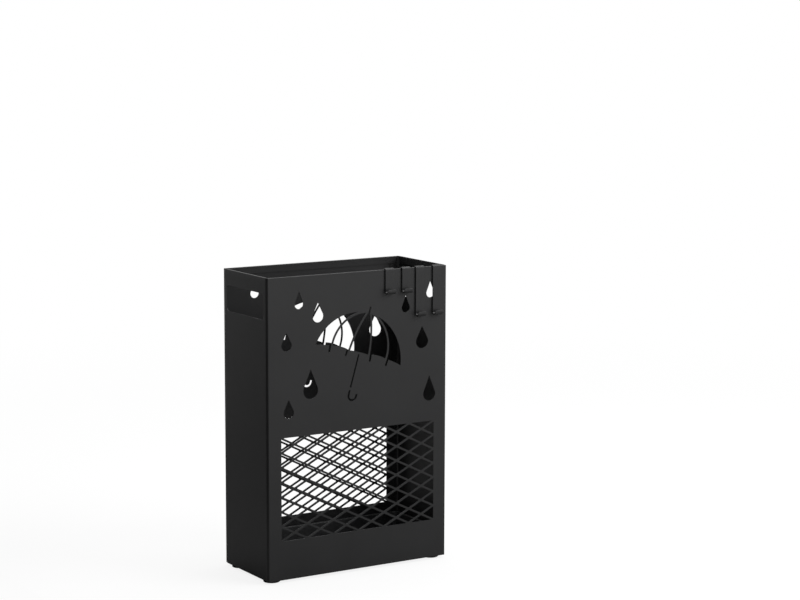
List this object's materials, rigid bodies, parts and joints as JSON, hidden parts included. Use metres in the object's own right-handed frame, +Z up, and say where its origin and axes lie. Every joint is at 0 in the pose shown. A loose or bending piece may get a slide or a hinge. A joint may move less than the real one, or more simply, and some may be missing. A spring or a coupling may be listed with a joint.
{
  "type": "umbrella stand",
  "caption": "Slim open-topped umbrella stand of black sheet steel with cut-out raindrops, an umbrella figure, diamond mesh, grip slots, lift-out drip tray and rim hooks.",
  "frame": {"origin": "on the floor, under the middle of the whole stand's bounding box, hooks included", "axes": "+X to the stand's right as seen from its front, +Y from the front panel to the back panel, +Z up"},
  "size_m": [0.28, 0.1328, 0.4135],
  "materials": {
    "powder_coat": "fine matt powder coat",
    "hook_coat": "fine matt powder coat",
    "tray_plastic": "satin moulded",
    "foot_rubber": "matt"
  },
  "bodies": {
    "stand": {"front_panel": "powder_coat", "back_panel": "powder_coat", "left_side_panel": "powder_coat", "right_side_panel": "powder_coat", "base_plate": "powder_coat", "front_left_foot": "foot_rubber", "front_right_foot": "foot_rubber", "back_left_foot": "foot_rubber", "back_right_foot": "foot_rubber"},
    "drip_tray": {"drip_tray": "tray_plastic"},
    "left_short_hook": {"left_short_hook": "hook_coat"},
    "right_short_hook": {"right_short_hook": "hook_coat"},
    "left_long_hook": {"left_long_hook": "hook_coat"},
    "right_long_hook": {"right_long_hook": "hook_coat"}
  },
  "joints": [
    {"name": "drip_tray_lift", "type": "slide", "parent": "stand", "child": "drip_tray", "axis": [0, 0, 1], "range_m": [0, 0.42]},
    {"name": "left_short_hook_lift", "type": "slide", "parent": "stand", "child": "left_short_hook", "axis": [0, 0, 1], "range_m": [0, 0.03]},
    {"name": "right_short_hook_lift", "type": "slide", "parent": "stand", "child": "right_short_hook", "axis": [0, 0, 1], "range_m": [0, 0.03]},
    {"name": "left_long_hook_lift", "type": "slide", "parent": "stand", "child": "left_long_hook", "axis": [0, 0, 1], "range_m": [0, 0.03]},
    {"name": "right_long_hook_lift", "type": "slide", "parent": "stand", "child": "right_long_hook", "axis": [0, 0, 1], "range_m": [0, 0.03]}
  ]
}
